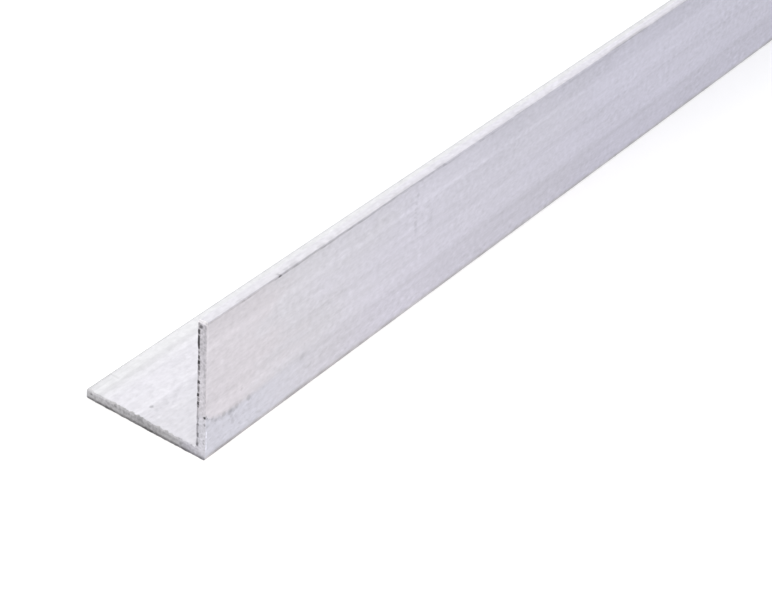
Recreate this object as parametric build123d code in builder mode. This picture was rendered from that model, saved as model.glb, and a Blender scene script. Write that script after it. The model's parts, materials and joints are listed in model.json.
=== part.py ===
from build123d import *
import os

# A bar of equal-leg aluminium angle, extruded and sawn square at both ends.
#
# X runs along the bar, and Z is up. One leg lies flat on the floor, and the
# other stands on its -Y edge. The origin is on the floor, in the middle of the
# rectangle that the bar covers.

# Driving dimensions, in millimetres
bar_length = 1000.0  # from sawn end to sawn end
flat_leg = 30.0  # outside width of the leg on the floor, along Y
upright_leg = 30.0  # outside height of the standing leg, along Z
wall = 2.0  # thickness of both legs
heel_radius = 0.2  # outside corner, under the standing leg
root_radius = 0.5  # inside corner, where the legs meet
toe_radius = 0.2  # both edges of each leg's free end

# The profile's lines, in the YZ plane
heel_y = -flat_leg / 2
toe_y = flat_leg / 2
inner_y = heel_y + wall


with BuildPart() as angle_section:
    with BuildSketch(Plane.YZ) as profile:
        with BuildLine():
            Polyline(
                (heel_y, 0),
                (toe_y, 0),
                (toe_y, wall),
                (inner_y, wall),
                (inner_y, upright_leg),
                (heel_y, upright_leg),
                close=True,
            )
        make_face()

        # The corners of the profile, chosen before any of them is rounded
        flat_toe = profile.vertices().group_by(Axis.X)[-1]
        upright_toe = profile.vertices().group_by(Axis.Y)[-1]
        fillet(flat_toe + upright_toe, toe_radius)
        fillet(profile.vertices().sort_by_distance((heel_y, 0))[0], heel_radius)
        fillet(profile.vertices().sort_by_distance((inner_y, wall))[0], root_radius)
    extrude(amount=bar_length / 2, both=True)

os.makedirs("parts", exist_ok=True)
angle_section.part.label = "angle_section"
export_step(angle_section.part, "parts/angle_section.step")
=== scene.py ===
"""The looks of a bar of mill-finish aluminium angle, sawn at both ends.

The bar is one closed mesh that stands for the CAD node. Its sides carry the fine
lines that the die leaves, its ends the marks and burrs of the saw, and its edges
a few nicks. Everything is in metres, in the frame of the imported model: X along the
bar, Z up, and the standing leg on the -Y edge of the flat one.
"""

import json
import math
import random

import bpy
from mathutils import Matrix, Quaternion, Vector, noise
from mathutils.geometry import delaunay_2d_cdt


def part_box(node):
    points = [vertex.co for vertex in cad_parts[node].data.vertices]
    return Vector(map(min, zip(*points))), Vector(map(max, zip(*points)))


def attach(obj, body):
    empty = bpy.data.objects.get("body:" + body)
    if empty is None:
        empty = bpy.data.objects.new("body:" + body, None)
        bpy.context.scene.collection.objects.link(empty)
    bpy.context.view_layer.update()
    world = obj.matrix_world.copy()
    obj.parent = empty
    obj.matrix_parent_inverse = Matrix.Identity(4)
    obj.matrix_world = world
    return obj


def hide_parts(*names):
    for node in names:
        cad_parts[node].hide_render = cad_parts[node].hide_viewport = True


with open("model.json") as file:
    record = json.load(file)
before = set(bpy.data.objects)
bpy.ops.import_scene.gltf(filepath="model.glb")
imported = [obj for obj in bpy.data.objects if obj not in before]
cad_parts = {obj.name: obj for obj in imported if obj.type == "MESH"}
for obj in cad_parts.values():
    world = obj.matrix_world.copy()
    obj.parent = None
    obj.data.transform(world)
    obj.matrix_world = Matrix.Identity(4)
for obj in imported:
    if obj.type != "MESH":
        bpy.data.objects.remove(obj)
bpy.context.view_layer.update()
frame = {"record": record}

MM = 0.001

# The bar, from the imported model
NODE = "angle_section"
BODY = "root"
LOW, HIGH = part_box(NODE)
MOUNTS = {mount["name"]: mount for mount in frame["record"]["mounts"]}
WALL = MOUNTS["flat_leg_inner"]["pos_m"][2]
LENGTH = HIGH.x - LOW.x
HEEL_RADIUS = 0.2 * MM
ROOT_RADIUS = 0.5 * MM
TOE_RADIUS = 0.2 * MM

# The camera, which stands off the near cut's lowest corner
LENS_MM = 101.34
SENSOR_MM = 36.0
CAMERA_OFFSET = Vector((-243.03, -205.05, 247.32)) * MM
AZIMUTH = math.radians(-55.604)
ELEVATION = math.radians(33.547)
ROLL = math.radians(2.91)

# The sides' mesh
ARC_STEPS = 5  # in each rounded corner of the section
FLAT_STEP = 0.5 * MM  # between points across a flat face
ARC_GUARD = 0.05 * MM  # from a rounded corner to the first point on the flat beside it
LONG_STEP = 10.0 * MM  # between stations along the plain middle of the bar
END_STEPS = [0.0, 0.15 * MM, 0.4 * MM, 0.9 * MM]  # stations with the finer outline
NEXT_STEPS = [1.6 * MM, 2.8 * MM, 5.0 * MM]  # and the first ones with the plain outline
LEAST_STEP = 0.06 * MM  # between two stations
DIE_DEPTH = 0.006 * MM  # of the lines along the sides
SMOOTH_ANGLE = math.radians(50)  # edges that turn further aren't shaded smooth

# The sawn ends
FINE_PARTS = 3  # that each step of the outline is cut into at a sawn end
SAW_INSET = 0.2 * MM  # from the CAD box's end to the sawn plane, which leaves room for burrs
NEAR_SKEW = (0.0316, 0.0317)  # how far the near cut leans back, per unit of Y and of Z
FAR_SKEW = (0.006, 0.011)
GRAIN_STEP = 0.22 * MM  # between points on a sawn face
GRAIN_JITTER = 0.16  # of that step
ROW_HEIGHT = 0.866  # of that step, between rows in a triangular grid
MERGE_DISTANCE = 1e-9  # within which two such points count as one
LIP_OFFSET = 0.05 * MM  # from a sawn face's edge to the first row of points inside it
GROOVE_OFFSET = 0.14 * MM  # and to the second, which is the groove behind a burr
GROOVE_DEPTH = 0.05 * MM
INSIDE_BURR = 0.20 * MM  # height of the burr along the legs' inner faces, before it is torn
FLOOR_BURR = 0.14 * MM  # and along the underside
MOST_BURR = 0.17 * MM  # of either, once torn
LEANING_BURRS = [  # over the standing leg's inner face, in millimetres: from and to in Z, and lean
    (11.4, 12.6, 0.05),
    (13.4, 14.4, 0.09),
    (24.0, 28.3, 0.11),
]
BURR_DEPTH = 0.3 * MM  # behind the cut to where a burr leaves the face that it leans over
FLAT_WEAR_MM = 0.26  # radius of the flat leg's upper edge at a cut, before it is made ragged
TOE_WEAR_MM = 0.18  # added to it at the toe
TOP_WEAR = 0.5 * MM  # radius of the standing leg's top at a cut
OUTER_WEAR = 0.12 * MM  # and of its outer edge
SAW_PITCH = 0.95 * MM  # between the marks of the saw
SAW_ANGLE = math.radians(52)  # of the direction across the marks, from Y
SAW_DEPTH = 0.03 * MM
RELIEF_SHIFT = (0.0, 5.3)  # where the near and the far cut read a noise, so that they differ
BURR_SHIFT = (2.7, 9.1)
WEAR_SHIFT = (7.9, 3.3)

# Nicks on the outer edge of the standing leg's top, in millimetres: distance from the near end,
# length and depth
TOP_NICKS = [
    (23.0, 0.7, 0.22),
    (31.6, 0.5, 0.12),
    (75.4, 0.7, 0.32),
    (104.5, 0.7, 0.12),
    (159.5, 1.1, 0.2),
]
OTHER_NICKS = 12
NICK_PLACES = (0.22, 0.98)  # of the other nicks, as shares of the bar's length
NICK_LENGTHS = (0.5, 1.4)  # in millimetres
NICK_DEPTHS = (0.1, 0.22)
NICK_SPREAD = 0.45 * MM  # from a nick's middle across the bar to where most of it has faded
NICK_END = 4  # half lengths from its middle along the bar, where it ends
NICK_STATIONS = 4  # on each side of its middle
NICK_SPAN = 1.2  # lengths, from its middle to the last of them

# The materials' places on the mesh
SIDES = 0
SAWN = 1

# The bake map: the sides in one strip, and above it each leg of each end in a strip of its own
MAP_MARGIN = 0.004
SIDES_TOP = 0.72
END_STRIP_WIDTH = 2.6 * MM  # across a leg, with room for the rounded inside corner


# -------- the section's outline


def section_corners():
    """The L's corners as (y, z, radius), counterclockwise with Y to the right and Z up."""
    inner_y = LOW.y + WALL
    inner_z = LOW.z + WALL
    return [
        (LOW.y, LOW.z, HEEL_RADIUS),
        (HIGH.y, LOW.z, TOE_RADIUS),
        (HIGH.y, inner_z, TOE_RADIUS),
        (inner_y, inner_z, ROOT_RADIUS),
        (inner_y, HIGH.z, TOE_RADIUS),
        (LOW.y, HIGH.z, TOE_RADIUS),
    ]


def die_relief(point):
    """Depth of the die's lines at a place on the outline, from 0 to 1."""
    broad = noise.noise(Vector((point.x, point.y, 0)) / (2.2 * MM))
    fine = noise.noise(Vector((point.y, point.x, 0)) / (0.7 * MM))
    return min(1.0, max(0.0, 0.5 + 0.6 * broad + 0.5 * fine))


def rounded_corner(before, corner, after, radius):
    """A corner's arc, as a list of (point, outward normal)."""
    arriving = (corner - before).normalized()
    leaving = (after - corner).normalized()
    outside = 1 if arriving.cross(leaving) > 0 else -1
    centre = corner + radius * (leaving - arriving)
    arc = []
    for step in range(ARC_STEPS + 1):
        turn = math.pi / 2 * step / ARC_STEPS
        spoke = arriving * math.sin(turn) - leaving * math.cos(turn)
        arc.append((centre + spoke * radius, spoke * outside))
    return arc


def flat_face(start, end, normal):
    """The points between two rounded corners, sunk a little by the die's lines."""
    run = end - start
    along = run.normalized()
    inner = run.length - 2 * ARC_GUARD
    count = max(1, round(inner / FLAT_STEP))
    points = []
    for i in range(count + 1):
        point = start + along * (ARC_GUARD + inner * i / count)
        points.append((point - normal * DIE_DEPTH * die_relief(point), normal))
    return points


def section_outline():
    """The outline as a list of (point, outward normal), counterclockwise from the underside."""
    corners = section_corners()
    count = len(corners)
    places = [Vector((y, z)) for y, z, _ in corners]
    arcs = [
        rounded_corner(places[i - 1], places[i], places[(i + 1) % count], corners[i][2])
        for i in range(count)
    ]
    outline = []
    for i in range(count):
        start, normal = arcs[i][-1]
        following = arcs[(i + 1) % count]
        outline += flat_face(start, following[0][0], normal)
        outline += following
    return outline


def finer(outline):
    """The outline with each step cut into FINE_PARTS."""
    cut = []
    for i, (point, normal) in enumerate(outline):
        next_point, next_normal = outline[(i + 1) % len(outline)]
        for part in range(FINE_PARTS):
            share = part / FINE_PARTS
            between = point.lerp(next_point, share)
            cut.append((between, normal.lerp(next_normal, share).normalized()))
    return cut


def lengths_round(outline):
    """Distance round the outline to each point, and to the first one again."""
    total = 0.0
    lengths = [total]
    for i in range(len(outline)):
        total += (outline[(i + 1) % len(outline)][0] - outline[i][0]).length
        lengths.append(total)
    return lengths


# -------- nicks and sawn ends


def nick_list():
    """Each nick as (x, y, z, length, depth, inward direction)."""
    draw = random.Random(41)
    nicks = [
        (LOW.x + x * MM, LOW.y, HIGH.z, length * MM, depth * MM, Vector((0, 1, -1)).normalized())
        for x, length, depth in TOP_NICKS
    ]
    edges = [
        (LOW.y, HIGH.z, Vector((0, 1, -1))),
        (LOW.y + WALL, HIGH.z, Vector((0, -1, -1))),
        (HIGH.y, LOW.z + WALL, Vector((0, -1, -1))),
        (LOW.y, LOW.z, Vector((0, 1, 1))),
    ]
    for _ in range(OTHER_NICKS):
        y, z, inward = draw.choice(edges)
        x = LOW.x + LENGTH * draw.uniform(*NICK_PLACES)
        length = draw.uniform(*NICK_LENGTHS) * MM
        depth = draw.uniform(*NICK_DEPTHS) * MM
        nicks.append((x, y, z, length, depth, inward.normalized()))
    return nicks


NICKS = nick_list()


def nicked(place):
    """A place on the sides, pushed in where a nick is."""
    for x, y, z, length, depth, inward in NICKS:
        along = (place.x - x) / (length / 2)
        if abs(along) > NICK_END:
            continue
        away = math.hypot(place.y - y, place.z - z) / NICK_SPREAD
        place = place + inward * depth * math.exp(-(along**2) - away**2)
    return place


def sawn_x(is_far, y, z):
    """X of a sawn end's plane at a place on the section."""
    skew_y, skew_z = FAR_SKEW if is_far else NEAR_SKEW
    setback = SAW_INSET + skew_y * (y - LOW.y) + skew_z * (z - LOW.z)
    return HIGH.x - setback if is_far else LOW.x + setback


def noise_place(is_far, y, z, shifts):
    """Where a sawn face reads a noise, in millimetres."""
    return Vector((y / MM, z / MM, shifts[is_far]))


def saw_relief(is_far, y, z):
    """Height of a sawn face above its plane, outwards: the saw's wavering marks and torn metal."""
    spot = noise_place(is_far, y, z, RELIEF_SHIFT)
    wobble = 0.35 * noise.noise(spot * 0.5)
    across = (y * math.cos(SAW_ANGLE) + z * math.sin(SAW_ANGLE)) / SAW_PITCH
    wave = math.sin(2 * math.pi * (across + wobble))
    torn = noise.noise(spot * 2.3)
    return SAW_DEPTH * (0.5 * wave + 0.9 * torn)


def burr_height(is_far, y, z):
    """How far the burr stands out of a sawn face at its edge."""
    spot = noise_place(is_far, y, z, BURR_SHIFT)
    torn = max(0.0, noise.noise(spot * 0.9) + 0.3)
    jagged = 0.6 + 0.8 * abs(noise.noise(spot * 3.7))
    on_inside = y > LOW.y + WALL / 2 and z > LOW.z + WALL
    on_floor = z < LOW.z + WALL / 4
    reach = INSIDE_BURR if on_inside else FLOOR_BURR if on_floor else 0.0
    return min(MOST_BURR, reach * torn * jagged)


def burr_lean(is_far, point, normal, depth):
    """How far the burr leans out over the standing leg's inner face, at a depth behind the cut."""
    if normal.x < 0.9 or point.x > LOW.y + WALL + DIE_DEPTH:
        return 0.0
    lean = 0.4 * burr_height(is_far, point.x, point.y)
    z = (point.y - LOW.z) / MM
    for low, high, most in LEANING_BURRS:
        inside = min(z - low, high - z) / 0.3
        lean = max(lean, most * MM * min(1.0, max(0.0, inside)))
    return lean * max(0.0, 1 - depth / BURR_DEPTH)


def rounded_back(distance, radius):
    """How far a rounded edge lies behind a flat face, at a distance from the edge."""
    short = radius - distance
    return radius - math.sqrt(radius**2 - short**2) if short > 0 else 0.0


def edge_wear(is_far, y, z):
    """How far the rounded edges of a sawn face lie behind its plane."""
    spot = noise_place(is_far, y, z, WEAR_SHIFT)
    ragged = 1 + 1.7 * noise.noise(spot * 0.75) + 1.4 * noise.noise(spot * 1.9)
    beyond_root = min(1.0, max(0.0, (y - LOW.y - WALL) / MM - 0.3))
    at_toe = min(1.0, max(0.0, (y - HIGH.y) / MM + 2.0))
    flat_radius = (FLAT_WEAR_MM * max(0.15, ragged) + TOE_WEAR_MM * at_toe) * MM
    flat_top = rounded_back(max(0.0, LOW.z + WALL - z), flat_radius)
    upright_top = rounded_back(HIGH.z - z, TOP_WEAR)
    outer = rounded_back(y - LOW.y, OUTER_WEAR)
    return max(flat_top * beyond_root if z < LOW.z + WALL else 0.0, upright_top, outer)


# -------- the bar's mesh


class Skin:
    """Gathers the bar's vertices and its faces, with each face's slot and place on the bake map."""

    def __init__(self):
        self.verts = []
        self.faces = []
        self.slots = []
        self.spots = []

    def add_vert(self, place):
        self.verts.append(place)
        return len(self.verts) - 1

    def add_face(self, corners, slot):
        """corners are (vertex, (u, v)) pairs."""
        self.faces.append([vertex for vertex, _ in corners])
        self.spots += [spot for _, spot in corners]
        self.slots.append(slot)

    def build(self, name, materials):
        mesh = bpy.data.meshes.new(name)
        mesh.from_pydata(self.verts, [], self.faces)
        mesh.polygons.foreach_set("material_index", self.slots)
        layer = mesh.uv_layers.new(name="OFBake")
        layer.uv.foreach_set("vector", [value for spot in self.spots for value in spot])
        for material in materials:
            mesh.materials.append(material)
        mesh.shade_smooth()
        mesh.set_sharp_from_angle(angle=SMOOTH_ANGLE)
        made = bpy.data.objects.new(name, mesh)
        bpy.context.scene.collection.objects.link(made)
        return made


def side_place(point, share):
    """A place on the sides, a share of the way from the near cut to the far one."""
    near = sawn_x(False, point.x, point.y) + edge_wear(False, point.x, point.y)
    far = sawn_x(True, point.x, point.y) - edge_wear(True, point.x, point.y)
    return nicked(Vector((near + (far - near) * share, point.x, point.y)))


def middle_stations():
    """Distances from the near end of the stations between the two finely made ends."""
    first, last = NEXT_STEPS[-1], LENGTH - NEXT_STEPS[-1]
    count = round((last - first) / LONG_STEP)
    places = [first + (last - first) * i / count for i in range(1, count)]
    for x, _, _, length, _, _ in NICKS:
        for i in range(-NICK_STATIONS, NICK_STATIONS + 1):
            places.append(x - LOW.x + length * NICK_SPAN * i / NICK_STATIONS)
    places = sorted(places)
    apart = [places[0]]
    for place in places[1:]:
        if place - apart[-1] > LEAST_STEP:
            apart.append(place)
    return apart


def map_side(share, round_share):
    """A place on the bake map from the shares of the way along the bar and round its outline."""
    u = MAP_MARGIN + (1 - 2 * MAP_MARGIN) * share
    v = MAP_MARGIN + (SIDES_TOP - 2 * MAP_MARGIN) * round_share
    return u, v


def add_ring(skin, outline, share):
    """One ring of the sides' points. By a cut, it bulges under the burrs that lean."""
    is_far = share > 0.5
    depth = LENGTH * (1 - share if is_far else share)
    ring = []
    for point, normal in outline:
        lean = burr_lean(is_far, point, normal, depth)
        place = side_place(point, share) + Vector((0, normal.x, normal.y)) * lean
        ring.append(skin.add_vert(place))
    return ring


def join_rings(skin, rings, shares, lengths):
    """Quads between rings that have the same outline."""
    count = len(rings[0])
    whole = lengths[-1]
    for row in range(len(rings) - 1):
        a, b = rings[row], rings[row + 1]
        for i in range(count):
            j = (i + 1) % count
            low, high = lengths[i] / whole, lengths[i + 1] / whole
            corners = [
                (a[i], map_side(shares[row], low)),
                (a[j], map_side(shares[row], high)),
                (b[j], map_side(shares[row + 1], high)),
                (b[i], map_side(shares[row + 1], low)),
            ]
            skin.add_face(corners, SIDES)


def join_fine(skin, fine, plain, shares, lengths):
    """Faces between a fine ring and a plain one. shares are the fine ring's and the plain one's."""
    fine_share, plain_share = shares
    is_far = fine_share > plain_share
    whole = lengths[-1]
    half = (FINE_PARTS + 1) // 2
    for i in range(len(plain)):
        j = (i + 1) % len(plain)
        low, high = lengths[i] / whole, lengths[i + 1] / whole
        edge = []
        for part in range(FINE_PARTS + 1):
            spot = map_side(fine_share, low + (high - low) * part / FINE_PARTS)
            edge.append((fine[(i * FINE_PARTS + part) % len(fine)], spot))
        here = (plain[i], map_side(plain_share, low))
        there = (plain[j], map_side(plain_share, high))
        fans = [[here, edge[part + 1], edge[part]] for part in range(half)]
        fans.append([here, there, edge[half]])
        fans += [[there, edge[part + 1], edge[part]] for part in range(half, FINE_PARTS)]
        for fan in fans:
            skin.add_face(fan if is_far else fan[::-1], SIDES)


def inside_section(point, margin):
    """Whether a point is on the section's metal, at least a margin from its edge."""
    y, z = point.x - LOW.y, point.y - LOW.z
    width, height = HIGH.y - LOW.y, HIGH.z - LOW.z
    on_flat = margin < z < WALL - margin and margin < y < width - margin
    on_upright = margin < y < WALL - margin and margin < z < height - margin
    return on_flat or on_upright


def grain_points():
    """Points spread over the sawn face in a triangular grid, moved a little at random."""
    draw = random.Random(5)
    points = []
    rows = math.ceil((HIGH.z - LOW.z) / (GRAIN_STEP * ROW_HEIGHT))
    columns = math.ceil((HIGH.y - LOW.y) / GRAIN_STEP)
    for row in range(rows):
        for column in range(columns):
            y = LOW.y + (column + 0.5 * (row % 2)) * GRAIN_STEP
            z = LOW.z + row * GRAIN_STEP * ROW_HEIGHT
            jitter = Vector((draw.uniform(-1, 1), draw.uniform(-1, 1)))
            point = Vector((y, z)) + jitter * GRAIN_STEP * GRAIN_JITTER
            if inside_section(point, GROOVE_OFFSET + GRAIN_STEP * 0.55):
                points.append(point)
    return points


def map_end(is_far, on_upright, point):
    """The place on the bake map of a point on a sawn face."""
    strip = 2 * is_far + on_upright
    height = (1 - SIDES_TOP) / 4
    y, z = point.x - LOW.y, point.y - LOW.z
    along, across = (z, y) if on_upright else (y, z)
    longest = max(HIGH.y - LOW.y, HIGH.z - LOW.z)
    u = MAP_MARGIN + (1 - 2 * MAP_MARGIN) * along / longest
    v = SIDES_TOP + height * strip + (height - MAP_MARGIN) * across / END_STRIP_WIDTH
    return u, v


def add_sawn_face(skin, is_far, edge, fine_outline):
    """Closes one end: a lip and a groove inside its edge, and the sawn grain."""
    points = [point for point, _ in fine_outline]
    lips = [point - normal * LIP_OFFSET for point, normal in fine_outline]
    grooves = [point - normal * GROOVE_OFFSET for point, normal in fine_outline]
    spread = points + lips + grooves + grain_points()
    border = [list(range(len(points)))]
    inside_border = 1
    found = delaunay_2d_cdt(spread, [], border, inside_border, MERGE_DISTANCE)
    made, _, triangles, origins = found[:4]
    outwards = 1 if is_far else -1
    index = []
    for i, spot in enumerate(made):
        origin = origins[i][0]
        if origin < len(points):
            index.append(edge[origin])
            continue
        y, z = spot
        height = saw_relief(is_far, y, z) - edge_wear(is_far, y, z)
        if origin < 2 * len(points):
            height += 0.6 * burr_height(is_far, y, z)
        elif origin < 3 * len(points):
            height -= min(GROOVE_DEPTH, 0.5 * burr_height(is_far, y, z))
        index.append(skin.add_vert((sawn_x(is_far, y, z) + outwards * height, y, z)))
    for triangle in triangles:
        middle = sum((made[i] for i in triangle), Vector((0, 0))) / 3
        on_upright = middle.y > LOW.z + WALL
        corners = [(index[i], map_end(is_far, on_upright, made[i])) for i in triangle]
        skin.add_face(corners if is_far else corners[::-1], SAWN)


def raise_burr(skin, is_far, edge, fine_outline):
    """Moves an end's edge out by the height of its burr."""
    outwards = 1 if is_far else -1
    for vertex, (point, _) in zip(edge, fine_outline):
        height = burr_height(is_far, point.x, point.y)
        skin.verts[vertex] = skin.verts[vertex] + Vector((outwards * height, 0, 0))


def build_bar(materials):
    """The whole bar: fine rings by each cut, plain ones between them, and the two sawn faces."""
    outline = section_outline()
    fine_outline = finer(outline)
    lengths, fine_lengths = lengths_round(outline), lengths_round(fine_outline)
    near_fine = [step / LENGTH for step in END_STEPS]
    far_fine = [1 - share for share in reversed(near_fine)]
    plain = [step / LENGTH for step in NEXT_STEPS]
    plain += [step / LENGTH for step in middle_stations()]
    plain += [1 - step / LENGTH for step in reversed(NEXT_STEPS)]
    skin = Skin()
    near_rings = [add_ring(skin, fine_outline, share) for share in near_fine]
    plain_rings = [add_ring(skin, outline, share) for share in plain]
    far_rings = [add_ring(skin, fine_outline, share) for share in far_fine]
    join_rings(skin, near_rings, near_fine, fine_lengths)
    join_fine(skin, near_rings[-1], plain_rings[0], (near_fine[-1], plain[0]), lengths)
    join_rings(skin, plain_rings, plain, lengths)
    join_fine(skin, far_rings[0], plain_rings[-1], (far_fine[0], plain[-1]), lengths)
    join_rings(skin, far_rings, far_fine, fine_lengths)
    for is_far, edge in ((False, near_rings[0]), (True, far_rings[-1])):
        raise_burr(skin, is_far, edge, fine_outline)
        add_sawn_face(skin, is_far, edge, fine_outline)
    return skin.build("angle_bar", materials)


# -------- materials


class Value:
    """A value that a material's nodes work out. Arithmetic on it adds the nodes that it takes."""

    def __init__(self, tree, socket):
        self.tree = tree
        self.socket = socket

    def __add__(self, other):
        return self.tree.math("ADD", self, other)

    def __mul__(self, other):
        return self.tree.math("MULTIPLY", self, other)

    def __sub__(self, other):
        return self.tree.math("SUBTRACT", self, other)

    def __rsub__(self, other):
        return self.tree.math("SUBTRACT", other, self)

    __radd__ = __add__
    __rmul__ = __mul__


class Tree:
    """Writes a material's nodes: a method adds the nodes that it takes and returns their value."""

    def __init__(self, name):
        self.material = bpy.data.materials.new(name)
        self.material.use_nodes = True
        self.nodes = self.material.node_tree.nodes
        self.links = self.material.node_tree.links
        self.shader = self.nodes["Principled BSDF"]

    def put(self, socket, value):
        if isinstance(value, Value):
            self.links.new(value.socket, socket)
        else:
            socket.default_value = value

    def filled(self, node, inputs, output=0):
        """The value of a node's output, once its inputs are put in by name or by place."""
        for socket, value in inputs.items():
            self.put(node.inputs[socket], value)
        return Value(self, node.outputs[output])

    def math(self, operation, a, b=0.0):
        node = self.nodes.new("ShaderNodeMath")
        node.operation = operation
        return self.filled(node, {0: a, 1: b})

    def most(self, first, *others):
        for other in others:
            first = self.math("MAXIMUM", first, other)
        return first

    def vector(self, operation, inputs):
        node = self.nodes.new("ShaderNodeVectorMath")
        node.operation = operation
        return self.filled(node, inputs)

    def ramp(self, value, low, high):
        """0 below low, 1 above high, and smooth between. low may be the higher one."""
        node = self.nodes.new("ShaderNodeMapRange")
        node.interpolation_type = "SMOOTHSTEP"
        start, end = (0.0, 1.0) if low < high else (1.0, 0.0)
        source = {"Value": value, "From Min": min(low, high), "From Max": max(low, high)}
        return self.filled(node, {**source, "To Min": start, "To Max": end}, "Result")

    def band(self, value, middle, half, soft):
        """1 within half of the middle, falling to 0 over the soft distance."""
        away = self.math("ABSOLUTE", value - middle)
        return self.ramp(away, half + soft, half)

    def bands(self, value, rows):
        """The sum of bands along a value. A row is middle, half width, soft distance and weight."""
        total = 0.0
        for middle, half, soft, weight in rows:
            total += weight * self.band(value, middle, half, soft)
        return total

    def blend(self, share, a, b):
        """The first colour where the share is 0 and the second where it is 1."""
        node = self.nodes.new("ShaderNodeMix")
        node.data_type = "RGBA"
        return self.filled(node, {0: share, 6: a, 7: b}, output=2)

    def shaded(self, colour, level):
        """The colour times a number."""
        return self.vector("SCALE", {0: colour, "Scale": level})

    def bump(self, height, metres, **under):
        """A normal from a height times the metres, over a Normal if one is given."""
        node = self.nodes.new("ShaderNodeBump")
        return self.filled(node, {"Height": height, "Distance": metres, **under})


class MetalTree(Tree):
    """The same for the bar, with the place on it in millimetres from the near end's heel."""

    def __init__(self, name):
        super().__init__(name)
        place = Value(self, self.nodes.new("ShaderNodeTexCoord").outputs["Object"])
        place = self.vector("SUBTRACT", {0: place, 1: (LOW.x, LOW.y, LOW.z)})
        self.place = self.vector("SCALE", {0: place, "Scale": 1 / MM})
        split = self.nodes.new("ShaderNodeSeparateXYZ")
        self.put(split.inputs[0], self.place)
        self.x, self.y, self.z = [Value(self, output) for output in split.outputs]

    def noise(self, size, seed, detail=2.0, roughness=0.5):
        """Noise around 0, about -0.5 to 0.5. size is its grain along X, Y and Z."""
        shifted = self.vector("ADD", {0: self.place, 1: [seed * step for step in SEED_STEP]})
        scaled = self.vector("MULTIPLY", {0: shifted, 1: [1 / s for s in size]})
        inputs = {"Vector": scaled, "Scale": 1.0, "Detail": detail, "Roughness": roughness}
        return self.filled(self.nodes.new("ShaderNodeTexNoise"), inputs) - 0.5


# From here to the room, places and lengths are in millimetres from the near end's heel
WALL_MM = WALL / MM
WIDTH_MM = (HIGH.y - LOW.y) / MM
TOP_MM = (HIGH.z - LOW.z) / MM

SEED_STEP = (37.0, 11.0, 23.0)  # between the places that two seeds read their noise at

# The metal's lavender tint, strongest on the outer face and far along it, is partly its own and
# partly painted reflection of the shaded floor in front of it
WARM_METAL = (0.577, 0.559, 0.591, 1)
GREY_METAL = (0.565, 0.559, 0.595, 1)
COOL_METAL = (0.570, 0.560, 0.620, 1)
FAR_SHADED_METAL = (0.571, 0.560, 0.634, 1)
STAINED_METAL = (0.551, 0.556, 0.612, 1)
HEEL_SHADED_METAL = (0.562, 0.553, 0.568, 1)
TOE_METAL = (0.561, 0.561, 0.591, 1)
SAWN_LIGHT = (0.515, 0.500, 0.530, 1)
SHADED_SAWN_DARK = (0.383, 0.380, 0.392, 1)
SHADED_SAWN_DARK_BLUE = (0.385, 0.382, 0.415, 1)
SAWN_BLUE = (0.500, 0.497, 0.535, 1)
FILED_HIGHLIGHT_METAL = (0.765, 0.746, 0.775, 1)

# Where the metal changes along the outer face: from and to in X, before the clouds shift it
TO_GREY = (12.0, 26.0)
TO_COOL = (22.0, 68.0)
TO_FAR = (105.0, 140.0)
CLOUD_SHIFT = 60.0
COOL_ELSEWHERE = 0.6  # the least share of cool metal on the other faces

# Painted shade: a dark line under the top outer edge, for the dark that its rounded edge reflects
# The line under the top outer edge: the steps in it, from and to in X and how far it drops, and
# where it is darker or lighter, as middle, half length, soft distance and weight
SHADE_LINE_STEPS = [(50.0, 56.0, -0.03), (75.2, 76.0, 0.12)]
SHADE_LINE_STRETCHES = [(0.0, 16.0, 4.0, 0.06), (39.0, 17.0, 4.0, 0.14), (98.0, 26.0, 6.0, -0.045)]
BROAD_SHADE_STRETCH = (132.0, 11.0, 7.0)  # of the broader shade under it: middle, half, soft distance
DOT_SOFT = 0.35

# Greyer stretches of the flat leg's toe by the near end, in X, and the fine line across the toe
TOE_STRETCHES = [(0.0, 12.0, 3.0, 0.025), (6.4, 0.7, 0.5, 0.035), (0.0, 3.0, 1.2, 0.040)]
TOE_CREASE = 7.65

# Broad shades on the cut faces, by Y and by Z
SAWN_BANDS_Y = [(16.0, 3.2, 2.2, -0.09), (30.0, 6.0, 4.0, 0.08)]
SAWN_BANDS_Z = [(18.0, 1.8, 1.2, -0.05), (30.0, 7.0, 6.0, -0.12)]
MOST_DIRT_AND_SHADE = 0.93

# The die's lines and broader strips along the outer face, by Z: middle, half width, soft distance,
# weight (below 0 where darker), and X where they begin, with 0 for the near end
LINE_FADE = 12.0  # to each side of where a line begins
OUTER_LINES = [
    (27.0, 2.0, 1.2, -0.03, 80),
    (27.0, 1.8, 1.0, -0.03, 115),
    (24.4, 0.25, 0.7, 0.035, 0),
    (24.4, 0.3, 0.5, 0.018, 62),
    (24.4, 0.5, 0.5, -0.04, 128),
    (21.0, 2.0, 1.2, 0.022, 95),
    (16.0, 0.2, 0.6, -0.018, 25),
    (12.8, 0.9, 1.2, 0.032, 30),
    (9.2, 0.8, 1.0, 0.018, 0),
    (7.0, 0.35, 0.6, -0.018, 30),
    (3.6, 0.9, 1.5, -0.014, 0),
    (12.0, 8.0, 3.0, -0.02, 180),
]

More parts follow.
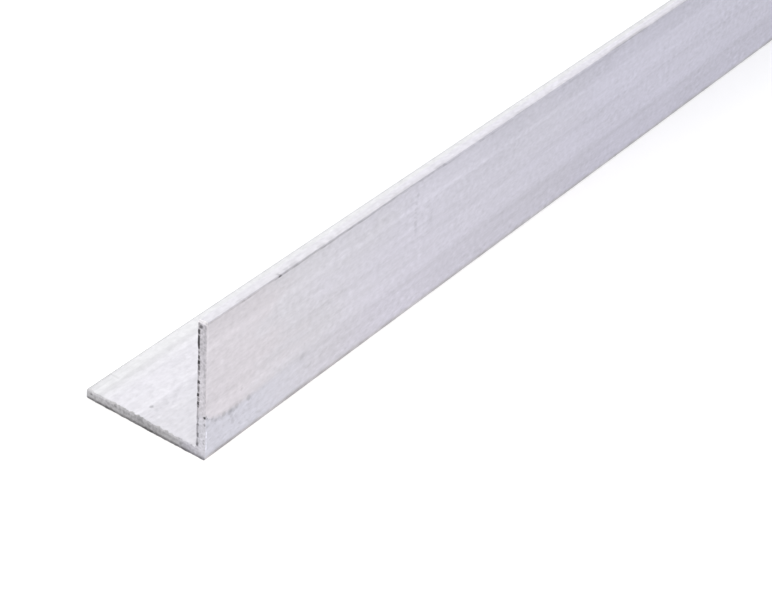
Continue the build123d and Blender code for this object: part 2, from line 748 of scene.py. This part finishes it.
# And along the top of the flat leg, by Y
FLAT_LINES = [
    (28.5, 0.95, 0.5, 0.066, 0),
    (29.65, 0.08, 0.2, -0.02, 8),
    (26.6, 0.2, 0.5, -0.034, 0),
    (25.2, 0.25, 0.5, 0.031, 0),
    (24.0, 0.12, 0.4, -0.022, 0),
    (21.4, 4.0, 0.6, 0.033, 0),
    (9.4, 7.2, 0.4, -0.044, 0),
    (17.4, 0.12, 0.3, 0.025, 0),
    (15.3, 0.15, 0.4, -0.02, 0),
    (13.6, 0.12, 0.3, 0.022, 0),
    (11.1, 0.12, 0.4, -0.018, 0),
    (10.1, 0.15, 0.3, 0.022, 0),
    (9.4, 0.1, 0.3, -0.022, 0),
    (8.6, 0.12, 0.3, 0.025, 0),
    (7.1, 0.15, 0.3, 0.03, 0),
    (5.5, 0.15, 0.4, -0.022, 0),
    (3.4, 0.3, 0.6, -0.034, 0),
]

# Spots of dirt: two places across the face, radius and darkness. On the outer face, by X and Z
OUTER_SPOTS = [
    (0.7, 9.75, 0.25, 0.4),
    (1.0, 9.15, 0.2, 0.22),
    (2.6, 8.4, 0.35, 0.14),
    (3.5, 7.4, 0.35, 0.14),
    (5.8, 7.5, 0.5, 0.21),
    (5.3, 6.8, 0.25, 0.12),
    (7.7, 7.0, 0.65, 0.26),
    (8.6, 6.8, 0.45, 0.18),
    (9.5, 7.25, 0.55, 0.19),
    (10.6, 7.6, 0.35, 0.13),
    (8.0, 5.9, 0.35, 0.14),
    (8.3, 4.9, 0.35, 0.13),
    (8.4, 4.15, 0.45, 0.15),
    (10.9, 10.3, 0.3, 0.12),
    (13.1, 7.1, 0.55, 0.22),
    (29.4, 7.6, 0.7, 0.14),
    (29.9, 10.2, 0.3, 0.1),
    (66.2, 26.8, 0.4, 0.14),
    (65.9, 20.0, 0.6, 0.1),
    (70.6, 19.0, 0.8, 0.08),
    (138.5, 28.0, 0.8, 0.07),
]

# Scratches across the outer face: X, upper and lower Z, darkness
SCRATCHES = [
    (65.9, 28.5, 17.5, 0.11),
    (71.4, 21.0, 16.5, 0.06),
    (137.0, 18.0, 11.0, 0.05),
]

# On top of the flat leg, by X and Y
FLAT_SPOTS = [
    (4.7, 16.75, 0.35, 0.3),
    (4.5, 15.3, 0.45, 0.08),
    (2.2, 14.6, 0.3, 0.06),
]

# On the near end, by Y and Z
END_SPOTS = [
    (0.15, 9.55, 0.27, 0.88),
    (0.25, 7.95, 0.26, 0.4),
    (0.2, 21.75, 0.22, 0.16),
    (0.35, 25.9, 0.25, 0.12),
    (0.3, 4.4, 0.18, 0.32),
    (0.3, 3.65, 0.2, 0.34),
    (1.36, 28.85, 0.4, 0.66),
    (1.75, 29.05, 0.28, 0.35),
    (1.25, 27.4, 0.2, 0.18),
    (1.3, 26.1, 0.24, 0.24),
    (6.0, 1.0, 0.35, 0.16),
    (9.1, 1.6, 0.3, 0.22),
    (14.0, 1.4, 0.3, 0.14),
    (15.8, 1.55, 0.35, 0.26),
    (16.6, 1.4, 0.35, 0.16),
    (17.4, 1.7, 0.28, 0.26),
    (19.1, 1.4, 0.25, 0.14),
    (20.3, 1.3, 0.3, 0.26),
    (21.3, 1.45, 0.25, 0.22),
    (22.6, 1.55, 0.28, 0.38),
    (24.9, 1.6, 0.22, 0.16),
    (26.1, 1.35, 0.3, 0.2),
    (28.85, 1.35, 0.26, 0.5),
    (27.9, 1.1, 0.22, 0.16),
]

# Darker dots on the line under the top's outer edge: middle and half length in X, darkness
EDGE_DOTS = [
    (11.4, 0.3, 0.12),
    (13.0, 0.4, 0.12),
    (19.0, 0.6, 0.1),
    (22.0, 0.25, 0.5),
    (23.8, 0.4, 0.14),
    (26.8, 0.5, 0.08),
    (35.0, 0.6, 0.08),
    (43.5, 0.6, 0.12),
    (46.5, 0.4, 0.1),
    (66.8, 0.5, 0.06),
    (70.3, 0.8, 0.08),
    (73.4, 0.5, 0.05),
    (75.2, 0.4, 0.22),
    (78.5, 1.8, 0.08),
    (88.5, 0.8, 0.08),
    (124.5, 1.0, 0.08),
    (137.2, 0.9, 0.1),
    (154.5, 1.0, 0.1),
    (167.0, 4.0, 0.04),
]

# Grey smears on the standing leg's top, beside its outer edge, by the same three values; the broad
# ones round X 148 and 168 are painted shade
TOP_SMEARS_AND_SHADE = [
    (10.8, 1.0, 0.05),
    (12.9, 0.9, 0.05),
    (22.0, 0.45, 0.26),
    (24.0, 0.7, 0.14),
    (26.2, 1.5, 0.12),
    (34.9, 1.2, 0.07),
    (46.4, 1.0, 0.04),
    (58.5, 1.5, 0.05),
    (63.5, 1.6, 0.06),
    (73.4, 1.6, 0.1),
    (74.9, 0.5, 0.14),
    (90.5, 1.6, 0.06),
    (103.5, 2.6, 0.09),
    (114.5, 1.5, 0.05),
    (122.0, 2.0, 0.04),
    (137.5, 2.5, 0.05),
    (148.0, 8.0, 0.2),
    (168.0, 9.0, 0.08),
]

# Dark dashes behind the near burr of the standing leg: from and to in Z, middle in Y, darkness
BURR_DASHES = [
    (2.5, 3.4, 1.84, 0.55),
    (4.5, 5.5, 1.8, 0.62),
    (7.1, 7.7, 1.8, 0.55),
    (8.1, 9.0, 1.84, 0.32),
    (11.1, 11.7, 1.84, 0.6),
    (11.7, 12.5, 1.8, 0.84),
    (12.6, 13.4, 1.8, 0.5),
    (13.5, 14.3, 1.84, 0.88),
    (14.6, 15.9, 1.79, 0.6),
    (16.4, 17.1, 1.73, 0.86),
    (18.2, 19.0, 1.78, 0.5),
    (19.3, 20.5, 1.77, 0.66),
    (20.6, 21.5, 1.77, 0.88),
    (21.5, 22.0, 1.86, 0.5),
    (21.8, 22.6, 1.86, 0.88),
    (22.9, 23.4, 1.84, 0.55),
    (23.9, 26.8, 1.91, 0.86),
    (27.1, 28.1, 1.84, 0.82),
]


def mill_aluminium():
    """The drawn faces: bare metal with the die's lines, soft mottling, dirt, and painted edge light
    and shade.
    """
    tree = MetalTree("mill_aluminium")
    x, y, z = tree.x, tree.y, tree.z
    on_outer = tree.ramp(y, 0.05, 0.02)
    on_flat = tree.ramp(z, 2.3, 2.1) * tree.ramp(z, 1.75, 1.85)
    on_top = tree.ramp(z, TOP_MM - 0.15, TOP_MM - 0.03)

    die_lines = tree.noise((4000, 1.5, 1.5), seed=1, detail=3)
    streaks = tree.noise((9, 0.7, 0.7), seed=2, detail=3)
    grain = tree.noise((1.3, 0.6, 0.6), seed=3)
    clouds = tree.noise((20, 8, 8), seed=4, detail=4)
    mottle = tree.noise((1.8, 1.1, 1.1), seed=5) * (0.75 + 2.6 * tree.noise((11, 6, 6), seed=8))
    ragged = tree.noise((1.2, 1.0, 0.7), seed=7, detail=3)
    above = above_stain(tree, ragged)
    stain = tree.ramp(above, 1.3, -0.3) * tree.ramp(x, 40.0, 10.0)

    level = 0.995 + 0.22 * die_lines + 0.16 * streaks + 0.25 * grain + 0.13 * clouds
    level += mottle * (0.30 * on_outer + 0.30 * on_top + 0.24 * on_flat)
    level += outer_shades(tree) * on_outer
    level += drawn_lines(tree, y, FLAT_LINES) * on_flat
    # Painted highlights and shade on the edges, beside the near cut too, and the top's shade
    level += painted_edge_light(tree) + near_cut_highlights(tree, ragged) + top_shade(tree, on_top)
    outer_dirt = outer_marks(tree, ragged, above, stain) + spots(tree, x, z, OUTER_SPOTS, ragged)
    flat_dirt = flat_marks(tree, ragged) + spots(tree, x, y, FLAT_SPOTS, ragged)
    level *= 1 - (outer_dirt * on_outer + flat_dirt * on_flat)
    # Painted shade under the top outer edge and along the heel
    level *= 1 - painted_edge_shade(tree)
    # Grey smears on the top, the broad far ones painted shade
    level *= 1 - top_smears_and_shade(tree, ragged)
    colour = drawn_colour(tree, on_outer, clouds, stain)
    tree.put(tree.shader.inputs["Base Color"], tree.shaded(colour, level))

    tree.put(tree.shader.inputs["Roughness"], 0.45 + 0.18 * streaks + 0.14 * die_lines)
    tree.shader.inputs["Metallic"].default_value = 1.0
    normal = tree.bump(streaks + 0.8 * die_lines, 0.012 * MM)
    normal = tree.bump(grain, 0.01 * MM, Normal=normal)
    tree.put(tree.shader.inputs["Normal"], normal)
    return tree.material


def drawn_colour(tree, on_outer, clouds, stain):
    """Warm metal at the near end that turns grey, then cool, with the stain, heel and toe on it."""
    drift = tree.x + CLOUD_SHIFT * clouds
    elsewhere = 1 - on_outer
    # On the outer face the metal turns bluer than elsewhere: partly painted reflection of the
    # shaded floor in front of it
    layers = [
        (tree.most(tree.ramp(drift, *TO_GREY), elsewhere), GREY_METAL),
        (tree.most(tree.ramp(drift, *TO_COOL), COOL_ELSEWHERE * elsewhere), COOL_METAL),
        (tree.ramp(drift, *TO_FAR) * on_outer, FAR_SHADED_METAL),
        (stain * on_outer, STAINED_METAL),
        # Painted shade: greyer metal along the heel, for the floor's contact shadow
        (0.9 * tree.ramp(tree.z, 1.0, 0.3) * tree.ramp(tree.y, 0.8, 0.3), HEEL_SHADED_METAL),
        (tree.ramp(tree.y, 23.0, 28.8) * tree.ramp(tree.z, 1.4, 1.7), TOE_METAL),
    ]
    colour = WARM_METAL
    for share, metal in layers:
        colour = tree.blend(share, colour, metal)
    return colour


def drawn_lines(tree, across, lines):
    """The die's own lines, which begin at their X and run on to the far end."""
    total = 0.0
    for middle, half, soft, weight, begin in lines:
        line = weight * tree.band(across, middle, half, soft)
        if begin > 0:
            line *= tree.ramp(tree.x, begin - LINE_FADE, begin + LINE_FADE)
        total += line
    return total


def outer_shades(tree):
    """The outer face's lines, a lighter stretch, and a darker strip high up by the near end."""
    lighter = tree.band(tree.x, 48.0, 26.0, 30.0)
    strip = tree.ramp(tree.x, 30.0, 15.0) * tree.band(tree.z, 27.5, 1.0, 1.5)
    return drawn_lines(tree, tree.z, OUTER_LINES) + 0.02 * lighter - 0.044 * strip


def spots(tree, across, up, places, ragged):
    """Round spots with uneven edges."""
    total = 0.0
    for middle, height, radius, darkness in places:
        side = across - middle
        rise = up - height
        away = tree.math("SQRT", side * side + rise * rise) + 2.2 * radius * ragged
        total = tree.most(total, darkness * tree.ramp(away, radius * 1.7, radius * 0.4))
    return total


def above_stain(tree, ragged):
    """Height above the edge of the bluer stain, which falls from the near end, then climbs."""
    fall = 3.9 * tree.math("POWER", 0.717, tree.x)
    return tree.z - (6.2 + fall + 0.05 * tree.x + 1.6 * ragged)


def outer_marks(tree, ragged, above, stain):
    """The dark edge of the stain, scuffs on it, and scratches across the outer face."""
    x = tree.x
    broken = tree.ramp(ragged, -0.12, 0.10)
    edge = tree.band(above, 0.0, 0.12, 0.5) * (0.05 + 0.12 * tree.ramp(x, 9.0, 3.0))
    edge *= tree.ramp(x, 26.0, 12.0) * broken
    scuffs = tree.ramp(ragged, 0.05, 0.16) * stain * tree.ramp(x, 22.0, 14.0)
    marks = edge + 0.10 * scuffs
    for middle, top, low, darkness in SCRATCHES:
        across = tree.band(x + 2.4 * ragged, middle, 0.15, 0.6)
        along = tree.band(tree.z, (top + low) / 2, (top - low) / 2 - 1.5, 3.0)
        marks += darkness * across * along * broken
    return marks


def flat_marks(tree, ragged):
    """By the near end of the flat leg's toe: a fine line across, a darker rim, a greyer strip."""
    x, y = tree.x, tree.y
    crease = tree.band(x - 0.6 * ragged, TOE_CREASE, 0.10, 0.22) * tree.ramp(y, 27.0, 28.2)
    rim = tree.band(y, 29.65, 0.12, 0.25) * tree.ramp(x, 8.2, 7.4)
    strip = tree.bands(x, TOE_STRETCHES) * tree.ramp(y, 28.2, 28.6)
    return 0.11 * crease + 0.07 * rim + strip


def painted_edge_light(tree):
    """Painted highlights on the standing leg's top edges, and painted shade on the flat leg's toe
    edge.
    """
    x, y, z = tree.x, tree.y, tree.z
    by_top = tree.ramp(z, TOP_MM - 0.5, TOP_MM - 0.2)
    inner = tree.band(y, WALL_MM, 0.12, 0.2) * by_top * (0.05 + 0.05 * tree.ramp(x, 85.0, 75.0))
    far_inner = tree.ramp(y, 1.45, 1.95) * by_top * tree.ramp(x, 110.0, 155.0)
    outer = tree.ramp(z, TOP_MM - 0.22, TOP_MM - 0.08) * tree.ramp(y, 0.5, 0.3)
    toe = tree.ramp(y, WIDTH_MM - 0.24, WIDTH_MM - 0.14) * tree.ramp(z, 1.5, 1.7)
    return inner + 0.12 * far_inner + 0.06 * outer - 0.42 * toe


def near_cut_highlights(tree, ragged):
    """Beside the near cut: painted highlights on two stretches of the upright outer edge, and a
    duller top.
    """
    y, z = tree.y, tree.z
    skew_y, skew_z = NEAR_SKEW
    behind = tree.x - (SAW_INSET / MM + skew_y * y + skew_z * z)
    low = tree.band(behind, 0.38, 0.08, 0.12) * tree.band(z, 4.3, 1.8, 0.5)
    low *= tree.ramp(ragged, -0.12, 0.08)
    high = tree.band(behind, 0.30, 0.15, 0.20) * tree.band(z, 25.6, 3.2, 0.8)
    high *= 1 + 3.0 * ragged
    top = tree.ramp(z, TOP_MM - 0.8, TOP_MM - 0.5) * tree.ramp(behind, 0.7, 0.3)
    return (0.48 * low + 0.07 * high) * tree.ramp(y, 0.15, 0.05) - 0.04 * top


def top_shade(tree, on_top):
    """The standing leg's top darkens towards its outer edge, but less in two stretches."""
    near = tree.ramp(tree.x, 62.0, 48.0)
    cleaner = 0.55 * near + 0.45 * tree.band(tree.x, 123.0, 12.0, 5.0)
    outer = tree.ramp(tree.y, 0.95, 0.05) * (1 - cleaner)
    return (-0.14 * outer - 0.01 * near) * on_top


def top_smears_and_shade(tree, ragged):
    """Grey smears on the standing leg's top beside its outer edge, the broad far ones painted
    shade.
    """
    wandering = tree.x + 2.0 * ragged
    total = 0.0
    for middle, half, darkness in TOP_SMEARS_AND_SHADE:
        smear = tree.band(wandering, middle, half * 0.5, half * 0.8)
        total = tree.most(total, darkness * smear)
    beside_edge = tree.ramp(tree.y + 0.5 * ragged, 0.95, 0.45)
    return total * beside_edge * tree.ramp(tree.z, TOP_MM - 0.25, TOP_MM - 0.10)


def painted_edge_shade(tree):
    """Painted shade in lines under the top outer edge and along the heel, broken in places."""
    broken = tree.noise((5, 40, 40), seed=6, detail=3)
    return tree.most(top_edge_shade(tree, broken) + heel_shade(tree, broken), 0.0)


def top_edge_shade(tree, broken):
    """The painted shade line under the top outer edge with its dots, and a broader shade under part
    of it.
    """
    x = tree.x
    wavy = tree.z + 0.4 * broken
    for begin, end, drop in SHADE_LINE_STEPS:
        wavy += drop * tree.ramp(x, begin, end)
    darkness = 0.14 + 0.35 * broken + 0.25 * tree.noise((60, 400, 400), seed=16)
    darkness += tree.bands(x, SHADE_LINE_STRETCHES)
    for middle, half, dot in EDGE_DOTS:
        darkness += dot * tree.band(x, middle, half, DOT_SOFT)
    line = darkness * tree.band(wavy, TOP_MM - 0.32, 0.10, 0.16)
    broad = 0.11 * tree.band(wavy, TOP_MM - 0.56, 0.16, 0.30) * tree.band(x, *BROAD_SHADE_STRETCH)
    return tree.most(line, broad) * tree.ramp(tree.y, 0.15, 0.05)


def heel_shade(tree, broken):
    """Painted shade along the heel, for the floor's contact shadow beside it, fading at the near
    end and far along the bar.
    """
    x, z = tree.x, tree.z
    strip = tree.ramp(z, 0.95, 0.60) + 0.4 * tree.ramp(z, 1.7, 0.8)
    darkness = (0.065 + 0.095 * tree.ramp(x, 120.0, 20.0)) * tree.ramp(x, -3.0, 6.0)
    darkness += 0.07 * tree.band(x, 5.5, 2.0, 2.5) + 0.5 * broken
    return strip * darkness * tree.ramp(tree.y, 0.8, 0.3)


def sawn_aluminium():
    """The cut faces: duller, darker metal with saw marks, dirt inside the burrs, painted shade and
    highlights.
    """
    tree = MetalTree("sawn_aluminium")
    y, z = tree.y, tree.z
    torn = tree.noise((2, 0.5, 0.5), seed=11, detail=3, roughness=0.6)
    blotches = tree.noise((9, 2.4, 2.4), seed=12)
    across = math.cos(SAW_ANGLE) * y + math.sin(SAW_ANGLE) * z + 0.8 * blotches
    marks = tree.math("SINE", across * (2 * math.pi * MM / SAW_PITCH))
    on_upright = tree.ramp(z - 0.35 * y, -0.6, 1.8)
    # Painted highlight: the filed, rounded top corner of the standing leg's cut is lightened beyond
    # what its shape catches
    filed_highlight = tree.ramp(z, TOP_MM - 0.62, TOP_MM - 0.40) * tree.ramp(y, 2.6, 2.2)

    # Painted shade: the flat leg's cut is darker and bluer than the standing leg's, for the
    # shadowed floor it faces, on top of the sawn metal's own dullness
    shaded_flat_metal = tree.blend(tree.ramp(y, 8.0, 4.0), SHADED_SAWN_DARK, SHADED_SAWN_DARK_BLUE)
    upright_metal = tree.blend(tree.ramp(z, 11.0, 8.0), SAWN_LIGHT, SAWN_BLUE)
    colour = tree.blend(on_upright, shaded_flat_metal, upright_metal)
    colour = tree.blend(filed_highlight, colour, FILED_HIGHLIGHT_METAL)
    level = 1.03 + torn + 0.45 * blotches + 0.045 * marks + 0.06 * on_upright
    level += tree.bands(y, SAWN_BANDS_Y) + tree.bands(z, SAWN_BANDS_Z) + sawn_edge_highlights(tree)
    level *= 1 - sawn_dirt_and_shade(tree) * (1 - filed_highlight)
    tree.put(tree.shader.inputs["Base Color"], tree.shaded(colour, level))

    tree.put(tree.shader.inputs["Roughness"], 0.55 + 0.3 * torn)
    tree.shader.inputs["Metallic"].default_value = 1.0
    tree.put(tree.shader.inputs["Normal"], tree.bump(torn + 0.3 * marks, 0.03 * MM))
    return tree.material


def sawn_edge_highlights(tree):
    """Painted highlights on the cut faces' rounded edges, and a duller strip beside the upright
    outer one.
    """
    y, z = tree.y, tree.z
    flat_top = tree.ramp(z, WALL_MM - 0.7, WALL_MM) * tree.ramp(z, 2.6, 2.2)
    flat_top *= tree.ramp(y, WALL_MM + 0.6, WALL_MM + 2.5)
    flat_top *= 0.31 + 0.35 * tree.ramp(y, 27.8, 28.6)
    outer = tree.ramp(y, 0.35, 0.0) * tree.ramp(z, 20.0, 24.0)
    strip = tree.band(y, 0.22, 0.22, 0.2) * tree.ramp(z, 22.0, 18.0) * tree.ramp(z, 9.5, 11.0)
    return flat_top + 0.10 * outer - 0.09 * strip


def sawn_dirt_and_shade(tree):
    """Dirt and painted shade on the cut faces: behind the burrs, along the bottom, in rows and in
    spots.
    """
    fine = tree.noise((5, 0.5, 0.35), seed=13)
    spotty = tree.noise((5, 0.7, 0.7), seed=16)
    near = tree.ramp(tree.x, 60.0, 50.0)
    dirt = tree.most(
        behind_burr(tree, fine, spotty, near),
        bottom_shade_line(tree, fine),
        dirt_rows(tree, spotty),
        near * spots(tree, tree.y, tree.z, END_SPOTS, spotty),
    )
    return tree.math("MINIMUM", dirt, MOST_DIRT_AND_SHADE)


def behind_burr(tree, fine, spotty, near):
    """Dashes along the standing leg's inner edge: placed on the near cut, at random on the far."""
    ragged_y = tree.y + 0.12 * fine
    ragged_z = tree.z + 0.35 * spotty
    dashes = 0.0
    for low, high, middle, darkness in BURR_DASHES:
        along = tree.band(ragged_z, (low + high) / 2, (high - low) / 2 - 0.10, 0.15)
        across = tree.band(ragged_y, middle, 0.20, 0.15)
        dashes = tree.most(dashes, darkness * along * across)
    gaps = tree.ramp(tree.noise((5, 40, 0.8), seed=14), -0.1, 0.05)
    far_dashes = 0.85 * gaps * tree.ramp(ragged_y, WALL_MM - 0.42, WALL_MM - 0.26)
    dashes = dashes * near + far_dashes * (1 - near)
    faint = 0.30 * tree.ramp(ragged_y, WALL_MM - 0.40, WALL_MM - 0.20)
    return tree.most(dashes, faint) * tree.ramp(tree.z, WALL_MM, WALL_MM + 0.6)


def bottom_shade_line(tree, fine):
    """The painted shade line along the bottom of the flat leg's cut, for the floor beneath, lighter
    by the heel.
    """
    gaps = tree.noise((5, 1.6, 40), seed=15, detail=3)
    line = tree.ramp(tree.z + 0.2 * fine, 0.75, 0.25) * (0.50 + 0.9 * gaps)
    return line * (0.75 + 0.25 * tree.ramp(tree.y, 3.0, 6.0))


def dirt_rows(tree, spotty):
    """Faint specks along the flat leg's cut and up the standing one's, and a shade at the toe."""
    y, z = tree.y, tree.z
    flat_row = tree.band(z, WALL_MM * 0.7, 0.12, 0.3) * tree.ramp(spotty, 0.0, 0.2)
    flat_row *= tree.ramp(y, 4.0, 6.0)
    upright_row = tree.band(y, 0.42, 0.1, 0.3) * tree.ramp(spotty, -0.1, 0.15)
    upright_row *= tree.ramp(z, 9.0, 20.0)
    toe = tree.ramp(y, WIDTH_MM - 0.7, WIDTH_MM - 0.2) * tree.ramp(z, 2.3, 1.9)
    return 0.2 * flat_row + 0.16 * upright_row + 0.05 * toe


# -------- the room


def build_camera():
    """The photo's camera, rolled a little about its own line of sight."""
    data = bpy.data.cameras.new("camera")
    data.lens = LENS_MM
    data.sensor_width = SENSOR_MM
    data.dof.use_dof = False
    data.clip_start = 0.01
    data.clip_end = 100
    camera = bpy.data.objects.new("camera", data)
    aside = math.cos(ELEVATION)
    back = Vector((math.sin(AZIMUTH) * aside, -math.cos(AZIMUTH) * aside, math.sin(ELEVATION)))
    camera.location = Vector((LOW.x + SAW_INSET, LOW.y, LOW.z)) + CAMERA_OFFSET
    camera.rotation_mode = "QUATERNION"
    level = (-back).to_track_quat("-Z", "Y")
    camera.rotation_quaternion = level @ Quaternion((0, 0, 1), ROLL)
    bpy.context.scene.collection.objects.link(camera)
    bpy.context.scene.camera = camera


def white_ray(tree):
    """1 for rays that show the background itself: the camera's, and those in metal and glass."""
    path = tree.nodes.new("ShaderNodeLightPath")
    kinds = ("Camera", "Glossy", "Transmission")
    return tree.most(*[Value(tree, path.outputs[f"Is {kind} Ray"]) for kind in kinds])


class WorldTree(Tree):
    """The same, for the world's nodes."""

    def __init__(self, world):
        world.use_nodes = True
        self.nodes = world.node_tree.nodes
        self.links = world.node_tree.links


def build_world():
    """A white surround, which lights the bar a little less than it shows."""
    world = bpy.data.worlds.new("studio")
    tree = WorldTree(world)
    light_level = 0.9
    background = tree.nodes["Background"]
    background.inputs["Color"].default_value = (1, 1, 1, 1)
    strength = light_level + (1 - light_level) * white_ray(tree)
    tree.put(background.inputs["Strength"], strength)
    bpy.context.scene.world = world


def pale_floor():
    """A pale matt floor that glows a little, so that it shows white around the bar."""
    glow_level = 0.35
    tree = Tree("pale_floor")
    tree.nodes.remove(tree.shader)
    diffuse = tree.nodes.new("ShaderNodeBsdfDiffuse")
    diffuse.inputs["Color"].default_value = (0.78, 0.79, 0.84, 1)
    glow = tree.nodes.new("ShaderNodeEmission")
    glow.inputs["Color"].default_value = (1.0, 1.0, 0.93, 1)
    tree.put(glow.inputs["Strength"], glow_level * white_ray(tree))
    both = tree.nodes.new("ShaderNodeAddShader")
    tree.links.new(diffuse.outputs[0], both.inputs[0])
    tree.links.new(glow.outputs[0], both.inputs[1])
    tree.links.new(both.outputs[0], tree.nodes["Material Output"].inputs["Surface"])
    return tree.material


def build_floor():
    """A plain floor, which keeps the bar's soft shadow."""
    reach = 12.0
    drop = 0.05 * MM  # so that the bar's underside doesn't share its plane
    corners = [(-reach, -reach), (reach, -reach), (reach, reach), (-reach, reach)]
    mesh = bpy.data.meshes.new("floor")
    mesh.from_pydata([(x, y, -drop) for x, y in corners], [], [(0, 1, 2, 3)])
    mesh.materials.append(pale_floor())
    floor = bpy.data.objects.new("floor", mesh)
    bpy.context.scene.collection.objects.link(floor)


def area_light(name, place, target, size, power, colour, spread):
    """A square lamp aimed at its target. spread is in degrees."""
    data = bpy.data.lights.new(name, "AREA")
    data.size = size
    data.energy = power
    data.color = colour
    data.spread = math.radians(spread)
    lamp = bpy.data.objects.new(name, data)
    lamp.location = place
    lamp.rotation_mode = "QUATERNION"
    lamp.rotation_quaternion = (target - place).to_track_quat("-Z", "Y")
    lamp.visible_camera = False
    bpy.context.scene.collection.objects.link(lamp)


def build_lights():
    """A large soft lamp behind the bar, and a small warmer one in front of its near end."""
    area_light(
        "back_softbox",
        place=Vector((0.9, 0.9, 1.6)),
        target=Vector(),
        size=1.6,
        power=7.5,
        colour=(1.0, 1.0, 0.92),
        spread=180,
    )
    area_light(
        "front_lamp",
        place=LOW + Vector((-0.06, -0.145, 0.18)),
        target=LOW + Vector((0, -0.015, 0)),
        size=0.08,
        power=0.07,
        colour=(1.0, 0.88, 0.76),
        spread=100,
    )


build_camera()
bar = build_bar([mill_aluminium(), sawn_aluminium()])
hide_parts(NODE)
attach(bar, BODY)
build_world()
build_floor()
build_lights()
bpy.context.scene.view_settings.view_transform = "Standard"
